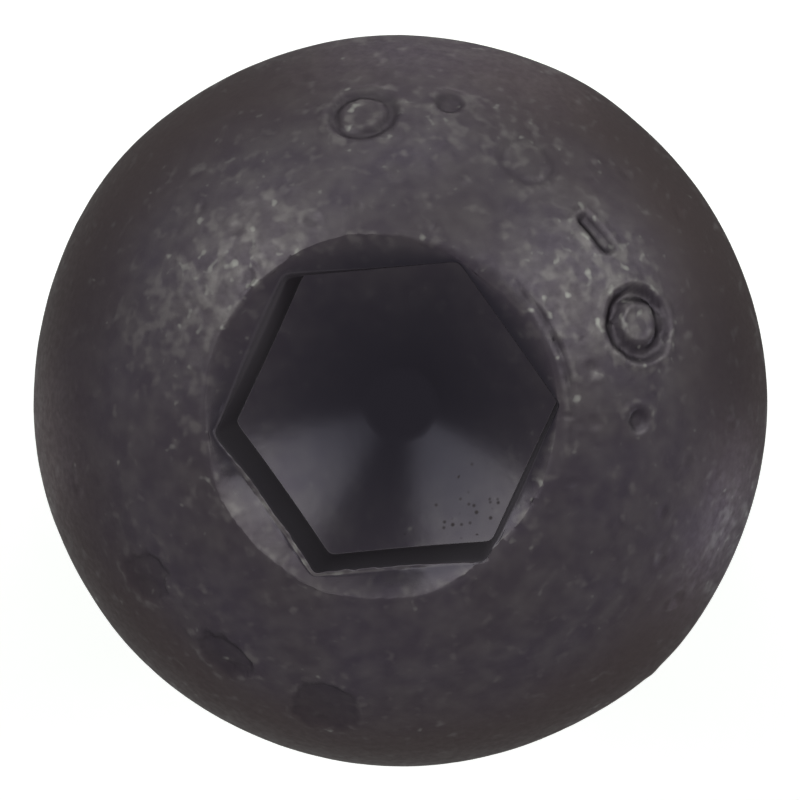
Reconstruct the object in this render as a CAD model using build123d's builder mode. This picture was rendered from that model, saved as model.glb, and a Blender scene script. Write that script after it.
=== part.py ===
# Button head socket screw, M12 x 1.75 x 16: one piece of blackened alloy steel.
#
# A low domed head with a hexagon socket is forged onto a round blank, and the thread is then
# rolled into its shank. The origin is the centre of the flat seat under the head. +Z runs up the
# screw's axis, out of the socket, and the shank hangs below in -Z. Sizes are in millimetres,
# after the ISO 7380-1 button head and the ISO 68-1 metric thread.
from build123d import *

import os
from math import atan, ceil, degrees, radians, sqrt, tan

# Thread
thread_diameter = 12.0  # major diameter, over the crests
thread_pitch = 1.75  # coarse pitch of M12
flank_angle = 60.0  # included angle between the two flanks

# Shank
shank_length = 16.0  # from the seat under the head to the tip
neck_length = 3.0  # plain blank between the seat and the start of the thread
neck_blend = 0.6  # cone that carries the neck into the seat
tip_recess = 0.2  # the tip's chamfer runs in this much deeper than the thread's root
cutter_overlap = 0.1  # the groove's cutting profile stands this proud of the crests

# Head
head_diameter = 21.0
head_height = 6.6  # from the seat to the mouth of the socket
rim_height = 0.8  # the upright side of the head, below the dome
rim_chamfer = 0.25  # broken edge between the seat and the rim

# Socket
key_size = 8.0  # across the flats of the hexagon key that drives it
key_clearance = 0.05  # the socket is this much wider across its flats than the key
socket_depth = 4.7  # full hexagon depth, from the mouth to the floor's corners
mouth_land = 0.12  # how far the mouth's countersink reaches past the hexagon's corners
mouth_angle = 120.0  # included angle of the mouth's countersink
floor_angle = 140.0  # included angle of the conical floor
nose_diameter = 1.8  # small flat in the middle of the floor, left by the punch's nose

# The thread's profile, worked out from its pitch
flank_slope = tan(radians(flank_angle / 2))  # half width of a groove for each mm of its depth
sharp_height = thread_pitch / (2 * flank_slope)  # of the profile, were it drawn to sharp points
thread_depth = 17 / 24 * sharp_height  # from crest to root
groove_width = 7 / 8 * thread_pitch  # at the crests, which keep an eighth of the pitch
root_width = groove_width - 2 * thread_depth * flank_slope
cutter_width = groove_width + 2 * cutter_overlap * flank_slope
shank_radius = thread_diameter / 2
blank_radius = shank_radius - 3 / 8 * sharp_height  # rolling starts from the pitch diameter
tip_chamfer = thread_depth + tip_recess  # at 45 degrees, so as long as it is deep
runout_length = thread_pitch  # the groove fades out over one turn below the neck
thread_top = -neck_length - runout_length  # where the full thread begins
full_turns = ceil((shank_length + thread_top) / thread_pitch + 1 / 2)  # to clear of the tip

# The head and its socket
head_radius = head_diameter / 2
across_flats = key_size + key_clearance
corner_radius = across_flats / sqrt(3)
nose_radius = nose_diameter / 2
mouth_radius = corner_radius + mouth_land
mouth_depth = mouth_radius / tan(radians(mouth_angle / 2))  # down to the cone's own point
floor_slope = 1 / tan(radians(floor_angle / 2))  # fall of the floor for each mm towards the axis
floor_corner_z = head_height - socket_depth
nose_z = floor_corner_z - (corner_radius - nose_radius) * floor_slope

# The dome is a sphere centred on the axis, through the top of the rim and the edge of the mouth
dome_centre_z = (mouth_radius**2 + head_height**2 - head_radius**2 - rim_height**2) / (
    2 * (head_height - rim_height)
)
dome_radius = sqrt(head_radius**2 + (rim_height - dome_centre_z) ** 2)


# The punch that forms the socket: a hexagon prism whose end is a blunt cone with a flat nose
with BuildPart() as punch:
    with BuildSketch(Plane.XY.offset(head_height)):
        RegularPolygon(across_flats / 2, 6, major_radius=False)
    extrude(amount=nose_z - head_height)
    with BuildSketch(Plane.XZ):
        with BuildLine():
            Polyline(
                (0, head_height),
                (corner_radius, head_height),
                (corner_radius, floor_corner_z),
                (nose_radius, nose_z),
                (0, nose_z),
                close=True,
            )
        make_face()
    revolve(axis=Axis.Z, mode=Mode.INTERSECT)


def groove_turn(rise):
    """One right-hand turn of the thread's groove, which climbs out of the shank by rise."""
    with BuildPart() as turn:
        with BuildLine() as helix:
            Helix(
                thread_pitch,
                thread_pitch,
                shank_radius,
                cone_angle=degrees(atan(rise / thread_pitch)),
            )
        with BuildSketch(Plane.XZ):
            with BuildLine():
                Polyline(
                    (shank_radius - thread_depth, root_width / 2),
                    (shank_radius + cutter_overlap, cutter_width / 2),
                    (shank_radius + cutter_overlap, -cutter_width / 2),
                    (shank_radius - thread_depth, -root_width / 2),
                    close=True,
                )
            make_face()
        sweep(path=helix.line, is_frenet=True)
    return turn.part


with BuildPart() as button_head_screw:
    # Head: a flat seat, a low upright rim, and the dome up to the mouth of the socket
    with BuildSketch(Plane.XZ) as head_profile:
        with BuildLine():
            Line((0, 0), (head_radius, 0))
            Line((head_radius, 0), (head_radius, rim_height))
            RadiusArc((head_radius, rim_height), (mouth_radius, head_height), -dome_radius)
            Line((mouth_radius, head_height), (0, head_height))
            Line((0, head_height), (0, 0))
        make_face()
        seat_corner = head_profile.vertices().group_by(Axis.X)[-1].sort_by(Axis.Y)[0]
        chamfer(seat_corner, rim_chamfer)
    revolve(axis=Axis.Z)

    # Shank blank: the neck, the swell up to the thread's crests, and the chamfered tip
    with BuildSketch(Plane.XZ):
        with BuildLine():
            Polyline(
                (0, 0),
                (blank_radius + neck_blend, 0),
                (blank_radius, -neck_blend),
                (blank_radius, -neck_length),
                (shank_radius, thread_top),
                (shank_radius, tip_chamfer - shank_length),
                (shank_radius - tip_chamfer, -shank_length),
                (0, -shank_length),
                close=True,
            )
        make_face()
    revolve(axis=Axis.Z)

    # Thread: turn below turn from the top of the full thread to past the tip, and its run-out
    turn_starts = [thread_top - (turn + 1) * thread_pitch for turn in range(full_turns)]
    with Locations(*[(0, 0, start) for start in turn_starts]):
        add(groove_turn(rise=0), mode=Mode.SUBTRACT)
    with Locations((0, 0, thread_top)):
        add(groove_turn(rise=thread_depth), mode=Mode.SUBTRACT)

    # Socket, with the countersunk mouth that leads the key in
    add(punch.part, mode=Mode.SUBTRACT)
    with BuildSketch(Plane.XZ):
        with BuildLine():
            Polyline(
                (0, head_height),
                (mouth_radius, head_height),
                (0, head_height - mouth_depth),
                close=True,
            )
        make_face()
    revolve(axis=Axis.Z, mode=Mode.SUBTRACT)

button_head_screw.part.label = "button_head_screw"

os.makedirs("parts", exist_ok=True)
export_step(button_head_screw.part, "parts/button_head_screw.step")
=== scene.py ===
# %% [markdown]
# # A blackened button head screw
#
# This notebook dresses one M12 button head screw. Its solid comes from the CAD model: a low dome
# with a hexagon socket on a short threaded shank. Here the solid gets what makes a real screw
# look real: the soft unevenness of a forged dome, the lip that the punch raised round the socket,
# shallow stamp marks, the rolled thread, and a black oxide skin that has worn off the high spots.

import math

import bmesh
import bpy
import numpy as np
from mathutils import Matrix, Vector, noise


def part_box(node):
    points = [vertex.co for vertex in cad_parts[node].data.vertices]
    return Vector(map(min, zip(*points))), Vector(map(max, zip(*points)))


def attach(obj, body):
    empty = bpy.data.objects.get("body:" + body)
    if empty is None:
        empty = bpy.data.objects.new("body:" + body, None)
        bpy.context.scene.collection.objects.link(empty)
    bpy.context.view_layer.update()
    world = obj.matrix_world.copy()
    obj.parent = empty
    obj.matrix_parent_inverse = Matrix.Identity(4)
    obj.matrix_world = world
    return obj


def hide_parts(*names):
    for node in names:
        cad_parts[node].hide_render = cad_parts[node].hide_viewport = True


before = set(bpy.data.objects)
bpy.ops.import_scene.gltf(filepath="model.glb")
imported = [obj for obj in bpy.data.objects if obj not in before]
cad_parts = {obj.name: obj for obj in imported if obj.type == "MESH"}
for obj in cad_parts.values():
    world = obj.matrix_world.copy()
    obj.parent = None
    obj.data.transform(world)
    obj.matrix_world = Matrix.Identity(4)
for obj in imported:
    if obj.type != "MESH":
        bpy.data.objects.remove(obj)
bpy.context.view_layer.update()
NODE = "button_head_screw"

# %% [markdown]
# ## The sizes
#
# The origin is the centre of the flat seat under the head, and +Z comes out of the socket. The
# largest sizes are read from the solid's box. The rest are the screw's own, in millimetres, the
# same as in its CAD source, and everything is built in millimetres and made metres at the end.

# %% Sizes in millimetres
MM = 0.001
solid_low, solid_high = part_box(NODE)
HEAD_RADIUS = solid_high.x / MM
HEAD_HEIGHT = solid_high.z / MM
TIP_Z = solid_low.z / MM
RIM_HEIGHT = 0.8
RIM_CHAMFER = 0.25
ACROSS_FLATS = 8.05
SOCKET_DEPTH = 4.7
FLOOR_ANGLE = 140.0
NOSE_RADIUS = 0.9
MOUTH_LAND = 0.12
MOUTH_ANGLE = 120.0
PITCH = 1.75
CREST_RADIUS = 6.0
NECK_LENGTH = 3.0
NECK_FILLET = 0.6
TIP_RECESS = 0.2
WELD = 0.002  # vertices closer than this are one

SHARP_HEIGHT = PITCH * math.sqrt(3) / 2
THREAD_DEPTH = 17 / 24 * SHARP_HEIGHT
NECK_RADIUS = CREST_RADIUS - 3 / 8 * SHARP_HEIGHT
CORNER_RADIUS = ACROSS_FLATS / math.sqrt(3)
MOUTH_RADIUS = CORNER_RADIUS + MOUTH_LAND
MOUTH_SLOPE = 1 / math.tan(math.radians(MOUTH_ANGLE / 2))
FLOOR_SLOPE = 1 / math.tan(math.radians(FLOOR_ANGLE / 2))
FLOOR_CORNER_Z = HEAD_HEIGHT - SOCKET_DEPTH

# The dome is a sphere through the top of the rim and the edge of the mouth
DOME_CENTRE_Z = (MOUTH_RADIUS**2 + HEAD_HEIGHT**2 - HEAD_RADIUS**2 - RIM_HEIGHT**2) / (
    2 * (HEAD_HEIGHT - RIM_HEIGHT)
)
DOME_RADIUS = math.hypot(HEAD_RADIUS, RIM_HEIGHT - DOME_CENTRE_Z)
MOUTH_TILT = math.asin(MOUTH_RADIUS / DOME_RADIUS)
RIM_TILT = math.asin(HEAD_RADIUS / DOME_RADIUS)
print(f"head {2 * HEAD_RADIUS:.2f} x {HEAD_HEIGHT:.2f} mm, dome radius {DOME_RADIUS:.2f} mm")
print(f"the dome leans {math.degrees(MOUTH_TILT):.1f} to {math.degrees(RIM_TILT):.1f} degrees")

# %% [markdown]
# ## The black oxide steel
#
# The screw is alloy steel, forged, hardened and dipped in a hot salt bath that turns its skin to
# black iron oxide. The oxide is a micrometre thick, so the steel under it still shines through
# as a dark satin metal: charcoal with a purple cast where it is thin, browner where it is thick.
# Handling wears it off the lip of the mouth, the burrs and the crests, and bare steel shows there
# in small light flecks.
#
# It could be a painted texture, but flecks made from noise stay sharp close up and need no
# picture. The mesh says where they belong, with six painted layers. The first thins the oxide
# and bares the steel where it is worn, and in a few places paints a highlight. The second is
# painted shade in the hollows of the marks, in a groove by the lip and along two stretches of the
# rim. The third keeps the punched socket smooth and paints it darker as shade, with most of its
# rolled edge. The fourth is a dull, paler paint on the walls that paints light into their shade.
# The fifth is the thicker oxide towards the rim, thinned as painted light at the back and on the
# right, and the sixth has small pits.

# %% Helpers for materials
def linear(code):
    """The linear colour of an sRGB hex value."""
    parts = [int(code[i : i + 2], 16) / 255 for i in (1, 3, 5)]
    return [c / 12.92 if c <= 0.04045 else ((c + 0.055) / 1.055) ** 2.4 for c in parts] + [1.0]


def add_node(tree, kind, inputs=None, **settings):
    """One node with its settings. An input takes a value, a socket, or a node's first output."""
    node = tree.nodes.new(kind)
    for name, value in settings.items():
        setattr(node, name, value)
    for name, value in (inputs or {}).items():
        if isinstance(value, bpy.types.Node):
            value = value.outputs[0]
        if isinstance(value, bpy.types.NodeSocket):
            tree.links.new(value, node.inputs[name])
        else:
            node.inputs[name].default_value = value
    return node


def per_metre(size_mm):
    """The noise scale whose features are about this many millimetres across."""
    return 1 / (size_mm * MM)


print("a noise scale of", round(per_metre(1.0)), "a metre gives features of 1 mm")

# %% The black oxide skin
OXIDE_PURPLE = linear("#39343b")  # thin oxide, over most of the head
OXIDE_BROWN = linear("#3a3538")  # clouds of browner oxide
OXIDE_THICK = linear("#3c3536")  # the thickest oxide, on the rim
THIN_FILM = linear("#534f50")  # nearly worn through
SOCKET_SHADE = linear("#252329")  # painted shade on the socket's floor and most of its rolled edge, smooth from the punch
WALL_LIGHT = linear("#585259")  # painted light: a dull, paler grey on the walls, in their shade
PAINTED_SHADE_BLACK = linear("#29252a")  # painted shade in the stamp marks, a groove by the lip and two stretches of the rim
PIT_BLACK = linear("#1c191b")  # small pits in the floor of the socket
BARE_STEEL = linear("#615f5e")  # where the oxide has worn off
NOISES = (  # name, size in millimetres, detail
    ("clouds", 2.4, 2.0),
    ("patches", 0.60, 1.0),
    ("film", 0.42, 1.0),
    ("flecks", 0.30, 0.5),
    ("grain", 0.20, 3.0),
)
FILM_FROM, FILM_BY_WEAR = 0.60, 0.26  # the film is thin where noise is over this, less by wear
BARE_FROM, BARE_BY_WEAR = 0.76, 0.17  # and so for bare steel
GRAIN_ROUGH = (0.38, 0.50)  # roughness of the forged skin, as its grain goes
SOCKET_ROUGH, WALL_ROUGH = 0.22, 0.65
EDGE_TINT = (0.5, 0.5, 0.5, 1.0)  # the oxide drinks light at a low angle
GRAIN_HEIGHT = 0.04  # millimetres
PIT_CELL = 0.22  # millimetres between pits, where every cell has one
PIT_EDGE = (0.34, 0.16)  # from clean to black, in cells
LAYERS = ("wear", "recess", "socket", "wall", "thick", "pitted")  # painted on the mesh, 0 to 1
MATH, MAP, MIX = "ShaderNodeMath", "ShaderNodeMapRange", "ShaderNodeMix"
FACTOR, FIRST, SECOND, MIXED = 0, 6, 7, 2  # the colour sockets of a mix node


def oxide_steel():
    material = bpy.data.materials.new("black_oxide_alloy_steel")
    material.use_nodes = True
    tree = material.node_tree
    tree.nodes.clear()
    where = add_node(tree, "ShaderNodeTexCoord").outputs["Object"]
    painted = {}
    for name in LAYERS:
        painted[name] = add_node(tree, "ShaderNodeAttribute", attribute_name=name).outputs["Fac"]
    noises = {}
    for name, size, detail in NOISES:
        inputs = {"Vector": where, "Scale": per_metre(size), "Detail": detail}
        noises[name] = add_node(tree, "ShaderNodeTexNoise", inputs)

    # Clouds of browner oxide, and patches where it is a little thinner
    clouds = {"Value": noises["clouds"], "From Min": 0.3, "From Max": 0.7, "To Max": 0.7}
    clouds = add_node(tree, MAP, clouds)
    patches = {"Value": noises["patches"], "From Min": 0.35, "From Max": 0.80, "To Max": 0.35}
    patches = add_node(tree, MAP, patches)

    # The film thins in soft blots, more and wider where the head is worn
    cover = {0: painted["wear"], 1: -FILM_BY_WEAR, 2: FILM_FROM}
    cover = add_node(tree, MATH, cover, operation="MULTIPLY_ADD")
    film = add_node(tree, MATH, {0: noises["film"], 1: cover}, operation="SUBTRACT")
    film = {"Value": film, "From Max": 0.30, "To Max": 0.65}
    film = add_node(tree, MAP, film, interpolation_type="SMOOTHSTEP")

    # Bare flecks stand in it, few and soft, and none in the socket
    cover = {0: painted["wear"], 1: -BARE_BY_WEAR, 2: BARE_FROM}
    cover = add_node(tree, MATH, cover, operation="MULTIPLY_ADD")
    bare = add_node(tree, MATH, {0: noises["flecks"], 1: cover}, operation="SUBTRACT")
    bare = add_node(tree, MAP, {"Value": bare, "From Max": 0.20}, interpolation_type="SMOOTHSTEP")
    dry = add_node(tree, MAP, {"Value": painted["socket"], "To Min": 1.0, "To Max": 0.0})
    bare = add_node(tree, MATH, {0: bare, 1: dry}, operation="MULTIPLY")

    # Pits: a small spot in some of the cells of a Voronoi pattern
    cells = {"Vector": where, "Scale": per_metre(PIT_CELL)}
    cells = add_node(tree, "ShaderNodeTexVoronoi", cells)
    chance = add_node(tree, "ShaderNodeSeparateColor", {0: cells.outputs["Color"]})
    chosen = add_node(tree, MATH, {0: chance, 1: painted["pitted"]}, operation="LESS_THAN")
    near = {"Value": cells.outputs["Distance"], "From Min": PIT_EDGE[0], "From Max": PIT_EDGE[1]}
    near = add_node(tree, MAP, near)
    pit = add_node(tree, MATH, {0: near, 1: chosen}, operation="MULTIPLY")

    # Each coat goes over the one before it
    coat = OXIDE_PURPLE
    for amount, colour in (
        (clouds, OXIDE_BROWN),
        (patches, THIN_FILM),
        (painted["thick"], OXIDE_THICK),
        (film, THIN_FILM),
        # Painted shade in the socket, painted light on its walls, painted shade in the hollows
        (painted["socket"], SOCKET_SHADE),
        (painted["wall"], WALL_LIGHT),
        (painted["recess"], PAINTED_SHADE_BLACK),
        (pit, PIT_BLACK),
        (bare, BARE_STEEL),
    ):
        inputs = {FACTOR: amount, FIRST: coat, SECOND: colour}
        coat = add_node(tree, MIX, inputs, data_type="RGBA").outputs[MIXED]

    # The forged skin is satin, the punched socket smoother, and the walls' paler paint dull and no
    # metal
    rough = {"Value": noises["grain"], "From Min": 0.3, "From Max": 0.7}
    rough |= {"To Min": GRAIN_ROUGH[0], "To Max": GRAIN_ROUGH[1]}
    rough = add_node(tree, MAP, rough)
    rough = {"Value": painted["socket"], "From Max": 0.5, "To Min": rough, "To Max": SOCKET_ROUGH}
    rough = add_node(tree, MAP, rough)
    rough = add_node(tree, MAP, {"Value": painted["wall"], "To Min": rough, "To Max": WALL_ROUGH})
    metal = add_node(tree, MAP, {"Value": painted["wall"], "To Min": 1.0, "To Max": 0.0})

    # The forged grain and the edges of the film as fine relief, least on the socket's floor
    height = noises["film"]
    for name, weight in (("grain", 0.6), ("patches", 1.2)):
        height = {0: noises[name], 1: weight, 2: height}
        height = add_node(tree, MATH, height, operation="MULTIPLY_ADD")
    deep = add_node(tree, MATH, {0: painted["wear"], 1: 0.2, 2: 0.15}, operation="MULTIPLY_ADD")
    deep = add_node(tree, MAP, {"Value": painted["thick"], "To Min": deep, "To Max": 0.08})
    deep = add_node(tree, MAP, {"Value": painted["socket"], "To Min": deep, "To Max": 0.02})
    bump = {"Height": height, "Strength": deep, "Distance": GRAIN_HEIGHT * MM}
    bump = add_node(tree, "ShaderNodeBump", bump)
    shader = add_node(
        tree,
        "ShaderNodeBsdfPrincipled",
        {
            "Base Color": coat,
            "Roughness": rough,
            "Normal": bump,
            "Metallic": metal,
            "Specular Tint": EDGE_TINT,
        },
    )
    add_node(tree, "ShaderNodeOutputMaterial", {"Surface": shader})
    return material


oxide = oxide_steel()
print("material:", oxide.name, "with", len(oxide.node_tree.nodes), "nodes")

# %% [markdown]
# ## The thread
#
# A thread is rolled: the blank turns between two grooved dies that press the roots in and let
# the metal rise into the crests. Every turn is the same, so it follows a rule. It could be a
# spiral with a profile swept along it, but the sweep twists and never closes. Instead Geometry
# Nodes bend a flat grid round the shank so that its rows climb with the helix. Each row then
# keeps one place in the profile, so crests and roots stay clean lines. After one turn the grid
# is one pitch higher, so its two sides meet and are welded.
#
# The neck, the run-out and the tip's chamfer are an envelope: the radius is never more than it
# allows, as on a blank that was turned before it was rolled.

# %% The tree for the thread
THREAD_COLUMNS = 144
ROWS_PER_TURN = 24
ROOT_HALF, GROOVE_HALF = 1 / 12, 7 / 16  # half widths of a root and of a groove, in pitches
SEAM_FROM, SEAM_DEPTH = 11 / 24, 0.02  # in pitches from the root, and of the thread's depth
CREST_WEAR = 0.5


def thread_tree():
    tree = bpy.data.node_groups.new("rolled_thread", "GeometryNodeTree")
    tree.is_modifier = True
    sizes = {
        "Pitch": PITCH * MM,
        "Crest Radius": CREST_RADIUS * MM,
        "Depth": THREAD_DEPTH * MM,
        "Neck Radius": NECK_RADIUS * MM,
        "Neck Top": -NECK_FILLET * MM,
        "Neck End": -NECK_LENGTH * MM,
        "Tip": TIP_Z * MM,
        "Tip Chamfer": (THREAD_DEPTH + TIP_RECESS) * MM,
    }
    face = tree.interface
    for name in sizes:
        face.new_socket(name, in_out="INPUT", socket_type="NodeSocketFloat")
    for name in ("Columns", "Rows per Turn"):
        face.new_socket(name, in_out="INPUT", socket_type="NodeSocketInt")
    face.new_socket("Material", in_out="INPUT", socket_type="NodeSocketMaterial")
    face.new_socket("Geometry", in_out="OUTPUT", socket_type="NodeSocketGeometry")
    given = tree.nodes.new("NodeGroupInput").outputs

    # The helix passes angle 0 at the top of the full thread, and one pitch above and below that
    thread_top = {0: given["Neck End"], 1: given["Pitch"]}
    thread_top = add_node(tree, MATH, thread_top, operation="SUBTRACT")
    below = add_node(tree, MATH, {0: thread_top, 1: given["Tip"]}, operation="SUBTRACT")
    below = add_node(tree, MATH, {0: below, 1: given["Pitch"]}, operation="DIVIDE")
    below = add_node(tree, MATH, {0: below}, operation="CEIL")
    below = add_node(tree, MATH, {0: below, 1: 1.0}, operation="ADD")
    above = add_node(tree, MATH, {0: given["Neck Top"], 1: thread_top}, operation="SUBTRACT")
    above = add_node(tree, MATH, {0: above, 1: given["Pitch"]}, operation="DIVIDE")
    above = add_node(tree, MATH, {0: above}, operation="CEIL")

    # The grid: one side runs round the shank, the other climbs along it
    turns = add_node(tree, MATH, {0: below, 1: above}, operation="ADD")
    rows = {0: turns, 1: given["Rows per Turn"], 2: 1.0}
    rows = add_node(tree, MATH, rows, operation="MULTIPLY_ADD")
    columns = add_node(tree, MATH, {0: given["Columns"], 1: 1.0}, operation="ADD")
    grid = {"Size X": 1.0, "Size Y": 1.0, "Vertices X": columns, "Vertices Y": rows}
    grid = add_node(tree, "GeometryNodeMeshGrid", grid)
    place = add_node(tree, "GeometryNodeInputPosition")
    place = add_node(tree, "ShaderNodeSeparateXYZ", {0: place}).outputs
    round_share = add_node(tree, MATH, {0: place["X"], 1: 0.5}, operation="ADD")
    turn = add_node(tree, MATH, {0: place["Y"], 1: 0.5}, operation="ADD")
    turn = add_node(tree, MATH, {0: turn, 1: turns}, operation="MULTIPLY")
    turn = add_node(tree, MATH, {0: turn, 1: below}, operation="SUBTRACT")

    # The height of each vertex, kept between the tip and the neck
    climb = add_node(tree, MATH, {0: turn, 1: round_share}, operation="ADD")
    climb = {0: climb, 1: given["Pitch"], 2: thread_top}
    climb = add_node(tree, MATH, climb, operation="MULTIPLY_ADD")
    height = add_node(tree, MATH, {0: climb, 1: given["Neck Top"]}, operation="MINIMUM")
    height = add_node(tree, MATH, {0: height, 1: given["Tip"]}, operation="MAXIMUM")

    # The profile, with a root at each whole turn: flat crests an eighth of the pitch wide,
    # flanks at 60 degrees to each other, and the faint seam that rolling leaves along a crest
    middle = add_node(tree, MATH, {0: turn}, operation="ROUND")
    from_root = add_node(tree, MATH, {0: turn, 1: middle}, operation="SUBTRACT")
    from_root = add_node(tree, MATH, {0: from_root}, operation="ABSOLUTE")
    flank = {"Value": from_root, "From Min": ROOT_HALF, "From Max": GROOVE_HALF}
    flank |= {"To Min": 1.0, "To Max": 0.0}
    flank = add_node(tree, MAP, flank)
    seam = {"Value": from_root, "From Min": SEAM_FROM, "From Max": 0.5, "To Max": SEAM_DEPTH}
    seam = add_node(tree, MAP, seam)

    # The run-out: over the last turn below the neck the groove climbs out of the shank
    rise = add_node(tree, MATH, {0: middle, 1: round_share}, operation="ADD", use_clamp=True)
    sunk = add_node(tree, MATH, {0: flank, 1: rise}, operation="SUBTRACT")
    sunk = add_node(tree, MATH, {0: sunk, 1: 0.0}, operation="MAXIMUM")
    sunk = add_node(tree, MATH, {0: sunk, 1: seam}, operation="ADD")
    cut = add_node(tree, MATH, {0: sunk, 1: given["Depth"]}, operation="MULTIPLY")
    thread = add_node(tree, MATH, {0: given["Crest Radius"], 1: cut}, operation="SUBTRACT")

    # The envelope: the neck, the swell under it, and the tip's chamfer at 45 degrees
    swell = {"Value": height, "From Min": thread_top, "From Max": given["Neck End"]}
    swell |= {"To Min": given["Crest Radius"], "To Max": given["Neck Radius"]}
    swell = add_node(tree, MAP, swell)
    chamfer = add_node(tree, MATH, {0: height, 1: given["Tip"]}, operation="SUBTRACT")
    chamfer = add_node(tree, MATH, {0: chamfer, 1: given["Crest Radius"]}, operation="ADD")
    chamfer = add_node(tree, MATH, {0: chamfer, 1: given["Tip Chamfer"]}, operation="SUBTRACT")
    radius = add_node(tree, MATH, {0: swell, 1: chamfer}, operation="MINIMUM")
    radius = add_node(tree, MATH, {0: radius, 1: thread}, operation="MINIMUM")

    # The bend: from a flat sheet to the turns of the helix
    angle = add_node(tree, MATH, {0: round_share, 1: 2 * math.pi}, operation="MULTIPLY")
    bent = {"Z": height}
    for axis, operation in (("X", "COSINE"), ("Y", "SINE")):
        share = add_node(tree, MATH, {0: angle}, operation=operation)
        bent[axis] = add_node(tree, MATH, {0: share, 1: radius}, operation="MULTIPLY")
    bent = add_node(tree, "ShaderNodeCombineXYZ", bent)
    rolled = add_node(tree, "GeometryNodeSetPosition", {"Geometry": grid, "Position": bent})

    # Wear on the crests, the weld, and then real geometry with its material
    wear = {"Value": sunk, "From Max": 0.15, "To Min": CREST_WEAR, "To Max": 0.0}
    worn = {"Geometry": rolled, "Name": "wear", "Value": add_node(tree, MAP, wear)}
    kind = {"data_type": "FLOAT", "domain": "POINT"}
    made = add_node(tree, "GeometryNodeStoreNamedAttribute", worn, **kind)
    made = {"Geometry": made, "Distance": WELD * MM}
    made = add_node(tree, "GeometryNodeMergeByDistance", made)
    made = add_node(tree, "GeometryNodeRealizeInstances", {"Geometry": made})
    made = {"Geometry": made, "Material": given["Material"]}
    made = add_node(tree, "GeometryNodeSetMaterial", made)
    add_node(tree, "NodeGroupOutput", {"Geometry": made})
    return tree, sizes


def plain_mesh(tree, values, name):
    """Runs the tree on an empty mesh and returns what it makes as a plain mesh."""
    holder = bpy.data.objects.new(name, bpy.data.meshes.new(name + "_start"))
    bpy.context.scene.collection.objects.link(holder)
    modifier = holder.modifiers.new(name, "NODES")
    modifier.node_group = tree
    for item in tree.interface.items_tree:
        if item.in_out == "INPUT" and item.name in values:
            modifier[item.identifier] = values[item.name]
    ready = holder.evaluated_get(bpy.context.evaluated_depsgraph_get())
    mesh = bpy.data.meshes.new_from_object(ready)
    holder.modifiers.remove(modifier)
    bpy.data.objects.remove(holder)
    return mesh


tree, values = thread_tree()
values |= {"Columns": THREAD_COLUMNS, "Rows per Turn": ROWS_PER_TURN, "Material": oxide}
thread_mesh = plain_mesh(tree, values, "rolled_thread")
print("thread:", len(thread_mesh.vertices), "vertices,", len(thread_mesh.polygons), "faces")
heights = [v.co.z / MM for v in thread_mesh.vertices]
print("thread runs from", round(min(heights), 3), "to", round(max(heights), 3), "mm")


# %% [markdown]
# ## The shape of the head
#
# The head is struck from the blank between a cup and a punch. It is round, so it can be built as
# rings of vertices round the axis, from the middle of the socket's floor, up its walls, over the
# mouth and the dome, and back under the head to the neck. Subdivided boxes or a boolean cut would
# be quicker, but rings put the mesh where the detail is, and every ring joins the next, so the
# skin is closed. The dome's rings are about a tenth of a millimetre apart, close enough to carry
# the stamp marks as real hollows.

# %% Rings and the skin between them
ROLL = 4.0  # degrees that the camera is turned about its own line of sight
COLUMNS = 576  # four for each of the thread's, so that the two meet at the neck
PUNCH_ASIDE = (0.065, -0.05)  # millimetres that the punch struck off the head's centre
turn = np.arange(COLUMNS) * 2 * np.pi / COLUMNS


class Skin:
    """A closed surface of rings, each with the values of its painted layers."""

    def __init__(self):
        self.points, self.faces, self.paint, self.last = [], [], [], None

    def ring(self, radius, height, count=COLUMNS, aside=0.0, **paint):
        """A ring of vertices, joined to the ring or pole before it.

        It shares the head's centre at aside 0 and the punch's at aside 1.
        """
        every = COLUMNS // count
        at = turn[::every]
        radius, height = (np.broadcast_to(v, COLUMNS)[::every] for v in (radius, height))
        x = radius * np.cos(at) + aside * PUNCH_ASIDE[0]
        y = radius * np.sin(at) + aside * PUNCH_ASIDE[1]
        layers = [np.broadcast_to(paint.get(name, 0.0), COLUMNS)[::every] for name in LAYERS]
        self.add(list(zip(x, y, np.minimum(height, HEAD_HEIGHT))), list(zip(*layers)))

    def pole(self, height, aside=0.0, **paint):
        """One vertex on the axis, joined to the ring before it, if there is one."""
        at = (aside * PUNCH_ASIDE[0], aside * PUNCH_ASIDE[1], height)
        self.add([at], [[paint.get(name, 0.0) for name in LAYERS]])

    def add(self, points, paint):
        new = list(range(len(self.points), len(self.points) + len(points)))
        self.points += points
        self.paint += paint
        if self.last:
            self.join(self.last, new)
        self.last = new

    def join(self, a, b):
        """Faces between two rings. Each vertex of the shorter one takes as many of the longer's."""
        long, short = (a, b) if len(a) >= len(b) else (b, a)
        step = len(long) // len(short)
        faces = []
        for i, corner in enumerate(short):
            after = short[(i + 1) % len(short)]
            run = [long[(i * step + k) % len(long)] for k in range(step + 1)]
            half = step // 2 if corner != after else step
            faces += [(corner, run[k], run[k + 1]) for k in range(half)]
            if corner != after:
                faces.append((corner, run[half], run[half + 1], after))
                faces += [(after, run[k], run[k + 1]) for k in range(half + 1, step)]
        self.faces += [f[::-1] for f in faces] if long is a else faces


def bump_at(value, centre, width):
    """A soft hump from 0 to 1 round centre."""
    return np.exp(-(((value - centre) / width) ** 2))


def smooth(value, low, high):
    """A soft step from 0 at low to 1 at high."""
    t = np.clip((value - low) / (high - low), 0, 1)
    return t * t * (3 - 2 * t)


def apart(angle, other):
    """The angle between two directions, in degrees, always under 180."""
    return np.abs((angle - other + 180) % 360 - 180)


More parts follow.
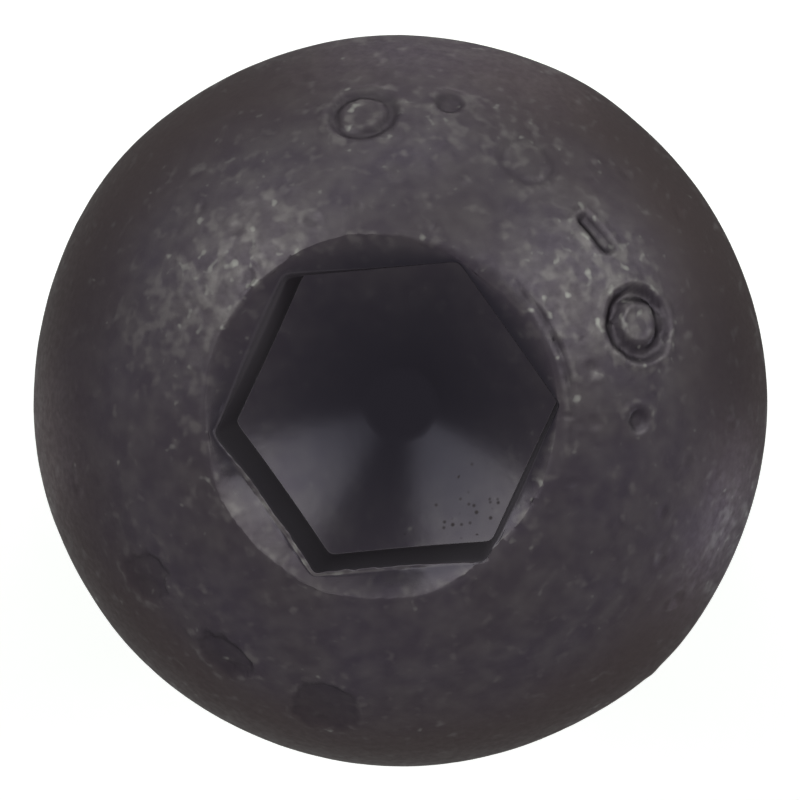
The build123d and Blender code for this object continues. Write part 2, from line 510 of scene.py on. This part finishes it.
def rough_noise(x, y, z, size, seed=0.0):
    """Smooth noise of about that size in millimetres, from -1 to 1, at each point."""
    flat = [np.ravel(v) / size for v in np.broadcast_arrays(x, y, z)]
    values = [noise.noise(Vector((a + seed, b - seed, c))) for a, b, c in zip(*flat)]
    return np.array(values).reshape(np.broadcast(x, y, z).shape)


degrees = np.degrees(turn)
print("columns", COLUMNS, "spaced", round(2 * math.pi * HEAD_RADIUS / COLUMNS, 3), "mm at the rim")

# %% [markdown]
# ## The forged dome and its marks
#
# A forged dome is never a perfect sphere. It has broad low waves from the die, many small dents
# from tumbling against other screws in the bath, and a lip round the mouth where the punch
# dragged metal up, on one side with a second ridge beside it. The marks are stamped cold, so each
# is a shallow hollow with a burr round it, half worn away. They are plain rings, dots and dashes
# that say nothing.
#
# It could be sculpted, or be a displacement texture, but then nothing could be moved by its
# number. Here all of it is one height over the sphere, worked out for every vertex and added
# along the surface's normal. That keeps the mesh closed, and the same distances paint the wear.

# %% The dome as a grid of tilt and turn
DOME_ROWS = 74  # closer together towards the mouth
FORGED = (  # height, size of a feature, and seed
    (0.022, 3.2, 11.0),
    (0.006, 0.9, 23.0),
    (0.003, 0.35, 37.0),
)
steps = np.linspace(0, 1, DOME_ROWS)
tilt = MOUTH_TILT + (RIM_TILT - MOUTH_TILT) * (0.75 * steps + 0.25 * steps**1.6)
tilt_grid, turn_grid = np.meshgrid(tilt, turn, indexing="ij")
dome_x = DOME_RADIUS * np.sin(tilt_grid) * np.cos(turn_grid)
dome_y = DOME_RADIUS * np.sin(tilt_grid) * np.sin(turn_grid)
dome_z = DOME_RADIUS * np.cos(tilt_grid)
from_mouth = DOME_RADIUS * (tilt_grid - MOUTH_TILT)  # along the surface, in millimetres
share_grid = np.hypot(dome_x, dome_y) / HEAD_RADIUS  # 1 at the rim
turn_degrees = np.degrees(turn_grid)

relief, wear, recess = (np.zeros_like(tilt_grid) for _ in range(3))
for rise, size, seed in FORGED:
    relief += rise * rough_noise(dome_x, dome_y, dome_z, size, seed)
print("dome grid", relief.shape, "rows", round(float(from_mouth[1, 0]), 3), "mm apart at the mouth")

# %% Dents from tumbling
DENTS = 240
random = np.random.default_rng(12)
off_rim = 1 - smooth(share_grid, 0.92, 0.97)  # the die's own edge keeps the rim clean
for _ in range(DENTS):
    dent_tilt = random.uniform(MOUTH_TILT, RIM_TILT)
    dent_turn = random.uniform(0, 2 * np.pi)
    size = random.uniform(0.10, 0.34)
    depth = random.uniform(0.05, 0.11) * size
    squeeze = random.uniform(0.45, 1.0)
    lean = random.uniform(0, np.pi)
    along = DOME_RADIUS * (tilt_grid - dent_tilt)
    offset = (turn_grid - dent_turn + np.pi) % (2 * np.pi) - np.pi
    across = DOME_RADIUS * math.sin(dent_tilt) * offset
    u = along * math.cos(lean) + across * math.sin(lean)
    v = (across * math.cos(lean) - along * math.sin(lean)) / squeeze
    spread = np.hypot(u, v) / size
    relief -= off_rim * depth * np.clip(1 - spread**2, 0, 1) ** 2
    relief += off_rim * 0.25 * depth * bump_at(spread, 1.1, 0.25)
    wear += 0.15 * bump_at(spread, 1.15, 0.3)
print(DENTS, "dents, relief from", round(relief.min(), 3), "to", round(relief.max(), 3), "mm")

# %% Stamp marks
# kind, turn in degrees, share of the head's radius, size, half width, depth, burr from 0 to 1,
# and lean in degrees. The size is the radius of a ring or dot, and half the length of a dash.
MARKS = (
    ("ring", 91, 0.770, 0.80, 0.22, 0.095, 0.7, 0),
    ("dot", 75, 0.810, 0.44, 0.0, 0.095, 0.9, 0),
    ("ring", 57, 0.735, 0.70, 0.13, 0.030, 0.3, 0),
    ("dash", 37, 0.705, 0.42, 0.27, 0.120, 0.9, 0),
    ("ring", 16, 0.680, 0.82, 0.26, 0.150, 1.0, 0),
    ("dot", -5, 0.640, 0.36, 0.0, 0.100, 0.6, 0),
    ("dash", 210, 0.763, 0.25, 0.74, 0.095, 0.6, 90),
    ("dash", 232, 0.768, 0.20, 0.72, 0.105, 0.9, 0),
    ("dash", 253.5, 0.793, 0.25, 0.90, 0.105, 0.8, 90),
)
SLOPE = 0.22  # width of the sloping side of a stamped hollow, in millimetres
BURR_HEIGHT = 0.035
ragged = rough_noise(dome_x, dome_y, dome_z, 0.45, 51.0)
ragged += 0.6 * rough_noise(dome_x, dome_y, dome_z, 0.25, 55.0)
for kind, mark_turn, share, size, half_width, depth, burr, lean in MARKS:
    mark_tilt = math.asin(share * HEAD_RADIUS / DOME_RADIUS)
    along = DOME_RADIUS * (tilt_grid - mark_tilt)
    offset = (turn_grid - math.radians(mark_turn) + np.pi) % (2 * np.pi) - np.pi
    across = share * HEAD_RADIUS * offset
    bend = math.radians(lean)
    u = along * math.cos(bend) + across * math.sin(bend)
    v = across * math.cos(bend) - along * math.sin(bend)
    if kind == "ring":
        edge = np.abs(np.hypot(u, v) - size) - half_width
    elif kind == "dot":
        edge = np.hypot(u, v) - size
    else:
        edge = np.hypot(u, np.maximum(np.abs(v) - size, 0)) - half_width
    edge = edge + (0.03 + 0.20 * half_width) * ragged
    side_slope = SLOPE
    if half_width:  # gentler in a wide groove, and never wider than a narrow one
        side_slope = min(max(SLOPE, 0.4 * half_width), 1.2 * half_width)
    hollow = 1 - smooth(edge, -side_slope, 0.02)
    relief -= depth * hollow * (1 + 0.5 * ragged)
    relief += BURR_HEIGHT * burr * bump_at(edge, 0.08, 0.09)
    # Painted shade in the hollow, the darker the deeper it is, and just inside its edge
    mark_shade = min(depth / 0.13, 0.9) * (0.5 * hollow + 0.5 * bump_at(edge, -0.10, 0.09))
    recess = np.maximum(recess, mark_shade)
    halo = bump_at(edge, 0.14, 0.16) * burr * (0.75 + 0.7 * ragged)
    wear += np.clip(halo, 0, 1)
    if kind == "ring":
        boss = 1 - smooth(np.hypot(u, v), size - half_width - 0.2, size - half_width)
        wear += 0.5 * burr**3 * boss
print(len(MARKS), "marks")

# %% Worn patches, a painted highlight, and the lip of the mouth
# For each patch: turn in degrees, share of the radius, the spread of each, and strength
WORN_AND_SHEEN = (
    (131, 0.55, 22, 0.13, 0.80),
    (156, 0.62, 16, 0.12, 0.60),
    (112, 0.70, 20, 0.12, 0.26),
    (88, 0.74, 22, 0.12, 0.22),
    (36, 0.56, 17, 0.11, 0.66),
    (29, 0.72, 10, 0.07, 0.42),
    (66, 0.82, 14, 0.04, 0.30),
    (14, 0.67, 15, 0.10, 0.42),
    (60, 0.76, 20, 0.10, 0.30),
    (182, 0.51, 22, 0.05, 0.32),
    (345, 0.62, 25, 0.20, 0.12),
    # a painted highlight near the rim on the right, not wear
    (336, 0.93, 9, 0.05, 0.80),
    (192, 0.975, 8, 0.03, 0.50),
)
RIM_SHADE = ((3, 0.89, 16, 0.09, 0.42), (167, 0.85, 38, 0.12, 0.42))


def patch(at, share, spread, width, strength):
    """A soft patch of that strength on the dome."""
    sector = strength * bump_at(apart(turn_degrees, at), 0, spread)
    return sector * bump_at(share_grid, share, width)


for worn in WORN_AND_SHEEN:
    wear += patch(*worn)
mouth_x, mouth_y = np.cos(turn) * MOUTH_RADIUS, np.sin(turn) * MOUTH_RADIUS
lip_wave = rough_noise(mouth_x, mouth_y, 0.0, 0.7, 5.0)
lip_fine = rough_noise(mouth_x, mouth_y, 0.0, 0.22, 9.0)
lip = np.clip(0.55 + 0.5 * lip_wave + 0.35 * lip_fine, 0.1, 1.2)
lip *= 1 - 0.6 * bump_at(apart(degrees, 342), 0, 18)  # low on one side
relief += 0.035 * lip[None, :] * bump_at(from_mouth, 0.06, 0.10)
wear += 0.6 * lip[None, :] * bump_at(from_mouth, 0.10, 0.22)
# The second ridge, and the groove between it and the lip, painted darker as shade
ridge = bump_at(apart(turn_degrees, 24), 0, 26) * np.clip(0.9 + 0.5 * ragged, 0, 1.4)
ridge_place = 0.20 - 0.12 * bump_at(apart(turn_degrees, 46), 0, 22) + 0.08 * lip_wave[None, :]
relief += 0.045 * ridge * bump_at(from_mouth, ridge_place + 0.20, 0.10)
relief -= 0.050 * ridge * bump_at(from_mouth, ridge_place, 0.10)
recess = np.maximum(recess, 0.8 * ridge * bump_at(from_mouth, ridge_place, 0.10))
wear += 0.5 * ridge * bump_at(from_mouth, ridge_place + 0.25, 0.14)
wear += 0.5 * smooth(share_grid, 0.96, 1.0)
wear = np.clip(wear, 0, 1)
for rim_stretch in RIM_SHADE:  # painted shade: two stretches near the rim are painted darker
    recess = np.maximum(recess, patch(*rim_stretch))
thick = smooth(share_grid + 0.04 * rough_noise(dome_x, dome_y, dome_z, 2.0, 61.0), 0.70, 0.94)
# Painted light: the thicker oxide is thinned at the back and on the right, where light falls
lit_back = 0.8 * bump_at(apart(turn_degrees, 84), 0, 24)
lit_right = 0.6 * bump_at(apart(turn_degrees, 336), 0, 14)
thick *= 1 - lit_back - lit_right
print("wear: mean", round(float(wear.mean()), 3), "highest", round(float(wear.max()), 2))

# %% [markdown]
# ## The socket
#
# The punch that strikes the socket is a hexagon with a blunt cone for a nose, so the floor is a
# shallow cone with a small flat in the middle, and its edge dips at each flat. This one was worn
# a little small, and it struck slightly aside and turned. Where it went in, the steel rolled over
# into a soft edge on one side and was pushed up into a ragged bead on the other. The floor and
# most of the rolled edge are painted darker as shade, and the walls a dull, paler grey as light
# in their shade.
#
# A hexagonal prism cut out with a boolean would leave six even, sharp edges. A hexagon's radius
# has a rule instead: a high power mean of its three pairs of flats gives the straight sides and,
# with them, the slightly rounded corners that a worn punch leaves. So the socket can be rings as
# well, and the rolled edge, the bead and the painted light and shade are smooth functions of
# the turn.

# %% Hexagon and countersink radii
PUNCH_FLATS = 7.88  # across the flats of the worn punch
PUNCH_TURN = 1.3  # degrees that it stood round
CORNER_SHARPNESS = 70  # a higher power leaves sharper corners
MOUTH_DROP = 0.01  # the mouth lies this far under the head's full height
MOUTH_GAP = 0.05  # the least width of the countersink


def hexagon(angle):
    """The radius of the socket at each angle, with two flats facing along Y."""
    pairs = [np.abs(np.cos(angle - math.radians(at + PUNCH_TURN))) for at in (30, 90, 150)]
    return PUNCH_FLATS / 2 * sum(p**CORNER_SHARPNESS for p in pairs) ** (-1 / CORNER_SHARPNESS)


wall = hexagon(turn)
wall_fine = rough_noise(wall * np.cos(turn), wall * np.sin(turn), 0.0, 0.25, 3.0)
nose_z = FLOOR_CORNER_Z - (CORNER_RADIUS - NOSE_RADIUS) * FLOOR_SLOPE


def floor_z(radius):
    """The floor's height, down the punch's cone, which is worn rounder towards its nose."""
    share = (radius - NOSE_RADIUS) / (CORNER_RADIUS - NOSE_RADIUS)
    return nose_z + (FLOOR_CORNER_Z - nose_z) * (0.76 * share + 0.24 * share**2)


floor_edge_z = floor_z(wall)
struck = wall + PUNCH_ASIDE[0] * np.cos(turn) + PUNCH_ASIDE[1] * np.sin(turn)
# Where the lip was pushed in or out: turn in the camera's view, spread, and how far
MOUTH_WAVES = (
    (50, 22, -0.26),
    (5, 22, -0.15),
    (345, 15, -0.15),
    (315, 22, -0.28),
    (110, 18, 0.08),
    (145, 10, -0.06),
    (185, 14, -0.12),
    (248, 8, 0.05),
)
mouth_line = MOUTH_RADIUS + sum(
    out * bump_at(apart(degrees, at - ROLL), 0, spread) for at, spread, out in MOUTH_WAVES
)
mouth_line = np.maximum(mouth_line, struck + MOUTH_GAP)
mouth_edge = np.maximum(mouth_line + 0.05 * lip_wave + 0.035 * lip_fine, struck + MOUTH_GAP)
wall_top_z = HEAD_HEIGHT - MOUTH_DROP - (mouth_line - struck) * MOUTH_SLOPE
print("hexagon radius", round(float(wall.min()), 3), "to", round(float(wall.max()), 3), "mm")

# %% Skin of the head, ring by ring
FLOOR_COLUMNS = 192
NOSE_COLUMNS = 64
FOOT = 0.02  # width of the corner between floor and wall
ROLL_END = 60  # degrees that the rolled edge bends, from the wall to the countersink
ROLL_DROP = 1.155  # and how far its foot is under the sharp edge, for each mm of its width
skin = Skin()
# Deep in the socket: round the punch's centre, with the floor's painted shade at its full
deep = {"aside": 1.0, "socket": 1.0}
skin.pole(nose_z, **deep)
for radius in (0.30, 0.60, NOSE_RADIUS - 0.05):
    skin.ring(radius, nose_z, NOSE_COLUMNS, **deep)
nose_edge = NOSE_RADIUS + 0.03
for share in (0.0, 0.06, 0.14, 0.26, 0.38, 0.50, 0.62, 0.74, 0.86, 0.94):
    radius = nose_edge + (wall - 0.06 - nose_edge) * share
    pitted = 0.65 * bump_at(apart(degrees, 304), 0, 18) * bump_at(share, 0.72, 0.25)
    # The floor is painted darker as shade, most towards its middle
    paint = {"aside": 1.0, "socket": 1.0 - 0.45 * share**2, "pitted": pitted}
    skin.ring(radius, floor_z(radius), FLOOR_COLUMNS, **paint)
foot = wall - FOOT
skin.ring(foot, floor_z(foot), aside=1.0, socket=0.55)

# The mouth is rolled soft on one side and a little on the right, and burred and worn opposite.
# Its rolled edge is painted lighter on the lower side, as light, and darker elsewhere, as shade
soft_side = bump_at(apart(degrees, 140), 0, 35)
right_side = bump_at(apart(degrees, 322), 0, 30)
worn_and_lit_side = bump_at(apart(degrees, 235), 0, 45)
grey_side = bump_at(apart(degrees, 140), 0, 28)  # where the rolled edge is painted less dark

# The walls are painted a dull, paler grey as light in their shade, lighter towards the foot
wall_light = 0.55 + 0.43 * soft_side + 0.2 * right_side
room = mouth_edge - struck
roll = np.minimum(0.02 + 0.20 * soft_side + 0.03 * worn_and_lit_side + 0.10 * right_side, 0.7 * room)
roll_drop = ROLL_DROP * roll
for share in (0.0, 0.02, 0.15, 0.3, 0.5, 0.7, 0.85):
    height = floor_edge_z + (wall_top_z - roll_drop - floor_edge_z) * share
    skin.ring(wall, height, wall=wall_light * (1.15 - 0.4 * share), **deep)

# The rolled edge, with the bead standing on its worn side, painted darker as shade except on
# the lower side, and with the walls' paler paint thinning over it
edge_shade = np.clip(0.95 - 0.75 * grey_side - 0.95 * worn_and_lit_side**2 - 0.45 * right_side, 0, 1)
bead = 0.09 * worn_and_lit_side * np.clip(0.7 + 0.6 * wall_fine + 0.5 * lip_wave, 0, 1.5)
for bend in (0, 12, 24, 36, 48, ROLL_END):
    out = 2 * (1 - math.cos(math.radians(bend)))
    up = math.sin(math.radians(bend)) / math.sin(math.radians(ROLL_END))
    stand = bead * math.sin(math.pi * min(up, 0.95))
    height = wall_top_z - roll_drop + (roll_drop + roll * MOUTH_SLOPE) * up + stand
    dark = (1 - (1 - edge_shade) * up) * (1 - worn_and_lit_side * (up > 0.1))
    dull = 0.9 * (1 - up**3) * (1 - worn_and_lit_side * up)
    paint = {"wear": 1.8 * worn_and_lit_side * up, "wall": wall_light * dull, "socket": dark}
    skin.ring(wall + roll * out - stand, height, aside=1.0, **paint)

# The countersink, whose rings go over from the punch's centre to the head's
for share in (0.08, 0.2, 0.4, 0.6, 0.8, 0.92):
    radius = wall + roll + (mouth_edge - wall - roll) * share
    uneven = rough_noise(radius * np.cos(turn), radius * np.sin(turn), 0.0, 0.5, 7.0)
    height = wall_top_z + (roll + (room - roll) * share) * MOUTH_SLOPE + 0.02 * uneven * (1 - share)
    # Painted light on the lower right of the countersink, and wear towards the lip
    wear_here = 0.25 + 0.8 * right_side * share + 0.6 * share**3 * lip
    # Painted shade in a crease beside the bead on the worn side
    crease_shade = 0.6 * worn_and_lit_side * bump_at(share, 0.08, 0.08)
    dark = np.maximum(edge_shade * (1 - share**1.5), crease_shade)
    skin.ring(radius, height, aside=1 - share, wear=wear_here, socket=dark)
skin.ring(mouth_edge, HEAD_HEIGHT - MOUTH_DROP, wear=wear[0])

# The die closed a little unevenly: turn in degrees, spread, and how far the rim stands out there
RIM_WAVES = (
    (137, 17, 0.130),
    (312, 15, 0.115),
    (309.5, 1.1, 0.030),
    (55, 8, 0.055),
    (2, 18, 0.030),
    (184, 22, 0.060),
    (222, 18, 0.030),
)
RIM_BASE = -0.16  # and how far inside the full size it stays elsewhere
swell = sum(out * bump_at(apart(degrees, at), 0, spread) for at, spread, out in RIM_WAVES)
swell = np.minimum(RIM_BASE + swell, 0)

# The dome, from the lip to the rim
for row in range(DOME_ROWS):
    radius = (DOME_RADIUS + relief[row]) * np.sin(tilt[row])
    height = DOME_CENTRE_Z + (DOME_RADIUS + relief[row]) * np.cos(tilt[row])
    if row == 0:
        radius = np.maximum(0.4 * mouth_edge + 0.6 * MOUTH_RADIUS, mouth_edge + 0.03)
    radius = np.minimum(radius + swell * (radius / HEAD_RADIUS) ** 6, HEAD_RADIUS)
    skin.ring(radius, height, wear=wear[row], recess=recess[row], thick=thick[row])
print("head so far:", len(skin.points), "points")

# %% Rim, seat and neck
SEAT_EDGE = 0.6  # from the rim to the first whole ring of the seat
side = HEAD_RADIUS + swell
for height in (0.66, 0.50, 0.36):
    skin.ring(side, height, wear=0.2, thick=0.8)
for angle in np.radians((0, 22.5, 45, 67.5, 90)):
    edge = RIM_CHAMFER * (1 - np.sin(angle))
    skin.ring(side - RIM_CHAMFER * (1 - np.cos(angle)), edge, wear=0.3, thick=0.5)
skin.ring(side - SEAT_EDGE, 0.0)
for radius in (9.0, 8.2, 7.4, 6.7):
    skin.ring(radius, 0.0, THREAD_COLUMNS)
for angle in np.radians((0, 18, 36, 54, 72, 90)):
    radius = NECK_RADIUS + NECK_FILLET * (1 - math.sin(angle))
    skin.ring(radius, NECK_FILLET * (math.cos(angle) - 1), THREAD_COLUMNS)
print("head:", len(skin.points), "points,", len(skin.faces), "faces")

# %% Tip
TIP_HOLLOW = 0.12  # the blank is sheared from wire, so the middle of its end is a little hollow
tip_radius = CREST_RADIUS - THREAD_DEPTH - TIP_RECESS
skin.last = None
for share in (1.0, 0.94, 0.8, 0.6, 0.4, 0.2):
    sunk = TIP_HOLLOW * float(smooth(1 - share, 0.06, 0.8))
    skin.ring(tip_radius * share, TIP_Z + sunk, THREAD_COLUMNS, wear=0.2)
skin.pole(TIP_Z + TIP_HOLLOW)
print("tip radius", round(tip_radius, 3), "mm")

# %% [markdown]
# ## One closed skin
#
# The head, the thread and the tip are joined and welded where their rings meet, under the head
# and at the tip. One piece of steel is then one closed mesh, as it is in life.

# %% Join and weld
screw_mesh = bpy.data.meshes.new("button_head_screw_skin")
head_count = len(skin.points)
thread_points = [tuple(v.co / MM) for v in thread_mesh.vertices]
thread_faces = [tuple(head_count + i for i in p.vertices) for p in thread_mesh.polygons]
thread_wear = [v.value for v in thread_mesh.attributes["wear"].data]
points = np.array(skin.points + thread_points) * MM
screw_mesh.from_pydata(points.tolist(), [], skin.faces + thread_faces)
paint = np.zeros((len(points), len(LAYERS)))
paint[:head_count] = skin.paint
paint[head_count:, LAYERS.index("wear")] = thread_wear
for column, name in enumerate(LAYERS):
    layer = screw_mesh.attributes.new(name, "FLOAT", "POINT")
    layer.data.foreach_set("value", paint[:, column].astype(np.float32))

SHARP_OVER = 50  # degrees between two faces, as between a flank and a crest
weld = bmesh.new()
weld.from_mesh(screw_mesh)
bmesh.ops.remove_doubles(weld, verts=weld.verts, dist=WELD * MM)
bmesh.ops.recalc_face_normals(weld, faces=weld.faces)
open_edges = sum(1 for edge in weld.edges if len(edge.link_faces) != 2)
triangles = sum(len(face.verts) - 2 for face in weld.faces)
for face in weld.faces:
    face.smooth = True
weld.to_mesh(screw_mesh)
volume = weld.calc_volume(signed=True) / MM**3
weld.free()
screw_mesh.set_sharp_from_angle(angle=math.radians(SHARP_OVER))
screw_mesh.materials.append(oxide)
screw = bpy.data.objects.new("screw", screw_mesh)
bpy.context.scene.collection.objects.link(screw)
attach(screw, "root")
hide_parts(NODE)
print("screw:", triangles, "triangles,", open_edges, "open edges,", round(volume), "mm3")

# %% [markdown]
# ## Floor, light and camera
#
# The screw stands on its tip on white paper. A dark shiny part shows its shape through what it
# reflects, so two tall soft boxes stand at the upper left and upper right of the view with a gap
# between them. On the dome they draw two broad pale patches. In the conical floor of the socket
# they cross over, and the gap draws the dark band between two bright fans. A third box stands
# low beyond the top of the view and lights that side of the dome.
#
# The steep edge of the dome reflects only the paper. Three small spot lamps make bright pools on
# it, and each shows as a soft glow near the rim. The paper glows a little by itself, so that it
# looks white. The glow is weaker round the screw, where the lamps light the paper too, and rises
# outwards until the paper meets the white surroundings with no horizon.
#
# One big sky picture could light all of this, but lamps can each be moved and dimmed alone.

# %% Floor and surroundings
FLOOR_HALF = 0.6  # metres
WHITE = 1.0  # strength of the surroundings where they are seen
FILL = 0.35  # and as light
PAPER_GLOW = 0.50  # close to the screw
GLOW_RISES = (0.25, 0.55)  # metres from the screw over which the glow goes up to white


def seen_directly(tree):
    """1 for what the camera sees, itself or in a reflection or through glass, and 0 for light."""
    path = add_node(tree, "ShaderNodeLightPath").outputs
    shiny = {0: path["Is Camera Ray"], 1: path["Is Glossy Ray"]}
    shiny = add_node(tree, MATH, shiny, operation="MAXIMUM")
    return add_node(tree, MATH, {0: shiny, 1: path["Is Transmission Ray"]}, operation="MAXIMUM")


world = bpy.data.worlds.new("pale_studio")
world.use_nodes = True
world.node_tree.nodes.clear()
strength = {"Value": seen_directly(world.node_tree), "To Min": FILL, "To Max": WHITE}
strength = add_node(world.node_tree, MAP, strength)
sky = {"Color": (1.0, 1.0, 1.0, 1.0), "Strength": strength}
sky = add_node(world.node_tree, "ShaderNodeBackground", sky)
add_node(world.node_tree, "ShaderNodeOutputWorld", {"Surface": sky})
bpy.context.scene.world = world

paper = bpy.data.materials.new("white_card")
paper.use_nodes = True
paper.node_tree.nodes.clear()
card = {"Base Color": linear("#f0f0f0"), "Roughness": 0.9, "Specular IOR Level": 0.0}
card = add_node(paper.node_tree, "ShaderNodeBsdfPrincipled", card)
away = add_node(paper.node_tree, "ShaderNodeTexCoord").outputs["Object"]
away = add_node(paper.node_tree, "ShaderNodeVectorMath", {0: away}, operation="LENGTH")
glow = {"Value": away.outputs["Value"], "From Min": GLOW_RISES[0], "From Max": GLOW_RISES[1]}
glow |= {"To Min": PAPER_GLOW, "To Max": WHITE}
glow = add_node(paper.node_tree, MAP, glow)
glow = {0: seen_directly(paper.node_tree), 1: glow}
glow = add_node(paper.node_tree, MATH, glow, operation="MULTIPLY")
glow = add_node(paper.node_tree, "ShaderNodeEmission", {"Strength": glow})
both = add_node(paper.node_tree, "ShaderNodeAddShader", {0: card, 1: glow})
add_node(paper.node_tree, "ShaderNodeOutputMaterial", {"Surface": both})

floor_mesh = bpy.data.meshes.new("floor")
corners = [(x, y) for x, y in ((-1, -1), (1, -1), (1, 1), (-1, 1))]
corners = [(x * FLOOR_HALF, y * FLOOR_HALF, TIP_Z * MM) for x, y in corners]
floor_mesh.from_pydata(corners, [], [(0, 1, 2, 3)])
floor_mesh.materials.append(paper)
floor = bpy.data.objects.new("floor", floor_mesh)
bpy.context.scene.collection.objects.link(floor)
print("floor at", TIP_Z, "mm")

# %% Soft boxes
TINT = "#f6fff5"  # tubes give a slightly green white
BOXES = (  # name, turn in the view, degrees off the vertical, distance, width, height, radiance
    ("soft_box_left", 134, 53, 0.40, 0.24, 0.34, 2.98),
    ("soft_box_right", 34, 57, 0.40, 0.22, 0.44, 3.1),
    ("soft_box_back", 88, 88, 0.50, 0.30, 0.40, 1.9),
)
POOL_LAMP_HEIGHT = 0.30  # metres over the paper
POOLS = (  # name, turn in the view, millimetres out, radius in millimetres, radiance, colour
    ("pool_right", 339, 46, 13, 6.0, "#ecf4ff"),
    ("pool_back", 84, 42, 22, 2.0, "#ffffff"),
    ("pool_left", 188, 34, 9, 2.3, "#ffffff"),
)


def soft_box(name, turn_at, off_vertical, distance, width, height, radiance):
    """A rectangular lamp that faces the head, as bright as so many white cards in full light."""
    lamp = bpy.data.lights.new(name, "AREA")
    lamp.shape = "RECTANGLE"
    lamp.size, lamp.size_y = width, height
    lamp.energy = radiance * math.pi * width * height
    lamp.color = linear(TINT)[:3]
    box = bpy.data.objects.new(name, lamp)
    a, e = math.radians(turn_at - ROLL), math.radians(off_vertical)
    towards = Vector((math.cos(a) * math.sin(e), math.sin(a) * math.sin(e), math.cos(e)))
    box.location = towards * distance
    box.rotation_mode = "QUATERNION"
    box.rotation_quaternion = towards.to_track_quat("Z", "Y")
    box.visible_camera = False
    bpy.context.scene.collection.objects.link(box)


def pool(name, turn_at, out_mm, radius_mm, radiance, colour):
    """A small spot lamp straight over the paper that makes a bright pool on it."""
    lamp = bpy.data.lights.new(name, "SPOT")
    lamp.spot_size = 2 * math.atan(radius_mm * MM / POOL_LAMP_HEIGHT)
    lamp.spot_blend = 0.6
    lamp.shadow_soft_size = 0.002
    lamp.energy = radiance * 4 * math.pi**2 * POOL_LAMP_HEIGHT**2
    lamp.color = linear(colour)[:3]
    spot = bpy.data.objects.new(name, lamp)
    a = math.radians(turn_at - ROLL)
    x, y = out_mm * MM * math.cos(a), out_mm * MM * math.sin(a)
    spot.location = (x, y, POOL_LAMP_HEIGHT + TIP_Z * MM)
    bpy.context.scene.collection.objects.link(spot)


for box in BOXES:
    soft_box(*box)
for glowing in POOLS:
    pool(*glowing)

# %% Camera
CAMERA_HEIGHT = 80.0  # above the plane of the rim, in millimetres
CAMERA_ASIDE = (5.3, 5.0)  # towards the right and top of the view, in millimetres
LENS = 128.1  # focal length in millimetres, on a sensor as wide as SENSOR
SENSOR = 36.0
AIM = Vector((0.075, 0.103, 0.8)) * MM  # in the plane of the rim

camera_data = bpy.data.cameras.new("camera")
camera_data.lens = LENS
camera_data.sensor_width = SENSOR
camera_data.clip_start = 0.01
camera_data.clip_end = 5.0
camera = bpy.data.objects.new("camera", camera_data)
bpy.context.scene.collection.objects.link(camera)
roll = math.radians(-ROLL)
right = Vector((math.cos(roll), math.sin(roll), 0.0))
top = Vector((-math.sin(roll), math.cos(roll), 0.0))
camera.location = AIM + (right * CAMERA_ASIDE[0] + top * CAMERA_ASIDE[1]) * MM
camera.location.z += CAMERA_HEIGHT * MM
back = (camera.location - AIM).normalized()
side_axis = top.cross(back).normalized()
up_axis = back.cross(side_axis)
camera.rotation_mode = "QUATERNION"
camera.rotation_quaternion = Matrix((side_axis, up_axis, back)).transposed().to_quaternion()
bpy.context.scene.camera = camera
bpy.context.scene.view_settings.view_transform = "Standard"
print("camera", [round(c / MM, 1) for c in camera.location])
